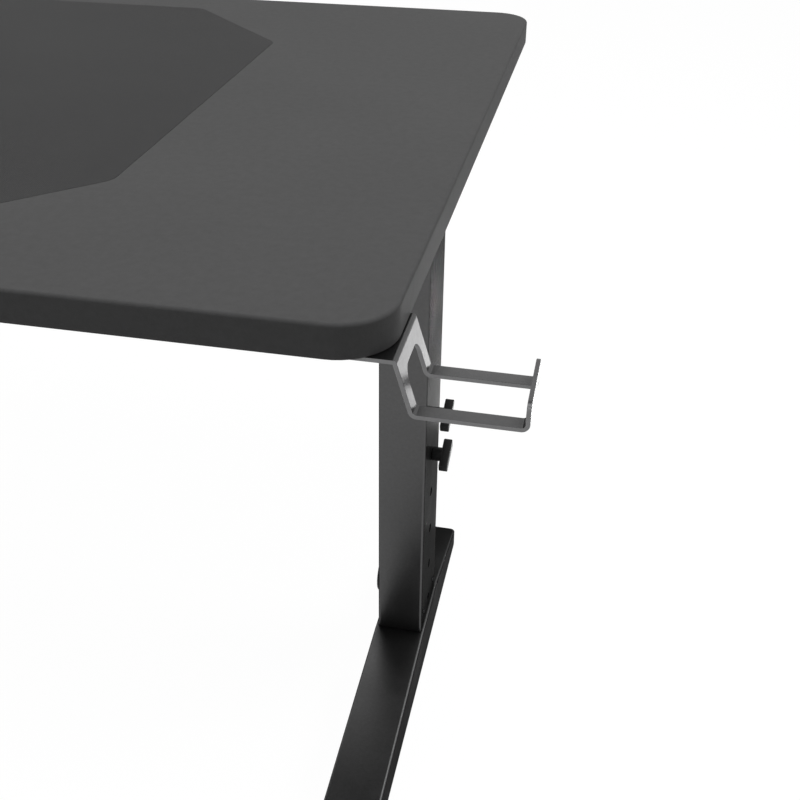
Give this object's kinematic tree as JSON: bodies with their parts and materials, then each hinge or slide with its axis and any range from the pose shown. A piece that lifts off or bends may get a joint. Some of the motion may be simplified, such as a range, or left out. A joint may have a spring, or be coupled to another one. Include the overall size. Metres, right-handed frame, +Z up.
{
  "type": "gaming desk",
  "caption": "Gaming desk with a rounded board, flush mouse surface, telescopic T-foot legs clamped by knobs, and a bent sheet headphone hook.",
  "frame": {"origin": "On the floor under the middle of the outer box, hook included.", "axes": "+X to the sitter's right, +Y away from the sitter, +Z up."},
  "size_m": [1.6864, 0.8, 0.755],
  "materials": {
    "board_laminate": "satin laminate",
    "mouse_cloth": "matte fine cloth",
    "frame_paint": "fine powder coat",
    "post_paint": "fine powder coat",
    "hook_paint": "fine powder coat",
    "black_plastic": "moulded grain",
    "zinc_steel": "zinc plated"
  },
  "bodies": {
    "base": {"foot_left": "frame_paint", "foot_right": "frame_paint", "foot_stiffener_left": "zinc_steel", "foot_stiffener_right": "zinc_steel", "glide_plates_left": "zinc_steel", "glide_plates_right": "zinc_steel", "leg_post_left": "post_paint", "leg_post_right": "post_paint", "post_base_left": "zinc_steel", "post_base_right": "zinc_steel", "post_cap_left": "black_plastic", "post_cap_right": "black_plastic", "post_bolts": "zinc_steel"},
    "desktop": {"tabletop": "board_laminate", "mouse_surface": "mouse_cloth", "headphone_hook": "hook_paint", "hook_screws": "zinc_steel", "bracket_screws": "zinc_steel", "rail_bolts": "zinc_steel", "collar_rivets": "zinc_steel", "cross_rail_front": "frame_paint", "cross_rail_back": "frame_paint", "leg_sleeve_left": "frame_paint", "leg_sleeve_right": "frame_paint", "guide_collar_left": "black_plastic", "guide_collar_right": "black_plastic", "clamp_pad_left": "black_plastic", "clamp_pad_right": "black_plastic", "clamp_bar_left": "zinc_steel", "clamp_bar_right": "zinc_steel", "side_bracket_left": "frame_paint", "side_bracket_right": "frame_paint"},
    "upper_knob_left": {"upper_knob_left": "black_plastic", "upper_stud_left": "zinc_steel"},
    "lower_knob_left": {"lower_knob_left": "black_plastic", "lower_stud_left": "zinc_steel"},
    "press_knob_left": {"press_knob_left": "black_plastic", "press_stud_left": "zinc_steel"},
    "front_glide_left": {"front_glide_left": "black_plastic", "front_glide_stud_left": "zinc_steel"},
    "back_glide_left": {"back_glide_left": "black_plastic", "back_glide_stud_left": "zinc_steel"},
    "upper_knob_right": {"upper_knob_right": "black_plastic", "upper_stud_right": "zinc_steel"},
    "lower_knob_right": {"lower_knob_right": "black_plastic", "lower_stud_right": "zinc_steel"},
    "press_knob_right": {"press_knob_right": "black_plastic", "press_stud_right": "zinc_steel"},
    "front_glide_right": {"front_glide_right": "black_plastic", "front_glide_stud_right": "zinc_steel"},
    "back_glide_right": {"back_glide_right": "black_plastic", "back_glide_stud_right": "zinc_steel"}
  },
  "joints": [
    {"name": "table_height", "type": "slide", "parent": "base", "child": "desktop", "axis": [0, 0, 1], "range_m": [0, 0.2248]},
    {"name": "upper_knob_left_turn", "type": "hinge", "parent": "desktop", "child": "upper_knob_left", "pos_m": [-0.75975, 0.1175, 0.3612], "axis": [-1, 0, 0], "continuous": true},
    {"name": "lower_knob_left_turn", "type": "hinge", "parent": "desktop", "child": "lower_knob_left", "pos_m": [-0.75975, 0.1175, 0.305], "axis": [-1, 0, 0], "continuous": true},
    {"name": "press_knob_left_turn", "type": "hinge", "parent": "desktop", "child": "press_knob_left", "pos_m": [-0.75975, 0.1175, 0.11], "axis": [1, 0, 0], "continuous": true},
    {"name": "front_glide_left_level", "type": "slide", "parent": "base", "child": "front_glide_left", "axis": [0, 0, -1], "range_m": [0, 0.01]},
    {"name": "back_glide_left_level", "type": "slide", "parent": "base", "child": "back_glide_left", "axis": [0, 0, -1], "range_m": [0, 0.01]},
    {"name": "upper_knob_right_turn", "type": "hinge", "parent": "desktop", "child": "upper_knob_right", "pos_m": [0.67325, 0.1175, 0.3612], "axis": [1, 0, 0], "continuous": true},
    {"name": "lower_knob_right_turn", "type": "hinge", "parent": "desktop", "child": "lower_knob_right", "pos_m": [0.67325, 0.1175, 0.305], "axis": [1, 0, 0], "continuous": true},
    {"name": "press_knob_right_turn", "type": "hinge", "parent": "desktop", "child": "press_knob_right", "pos_m": [0.67325, 0.1175, 0.11], "axis": [-1, 0, 0], "continuous": true},
    {"name": "front_glide_right_level", "type": "slide", "parent": "base", "child": "front_glide_right", "axis": [0, 0, -1], "range_m": [0, 0.01]},
    {"name": "back_glide_right_level", "type": "slide", "parent": "base", "child": "back_glide_right", "axis": [0, 0, -1], "range_m": [0, 0.01]}
  ]
}
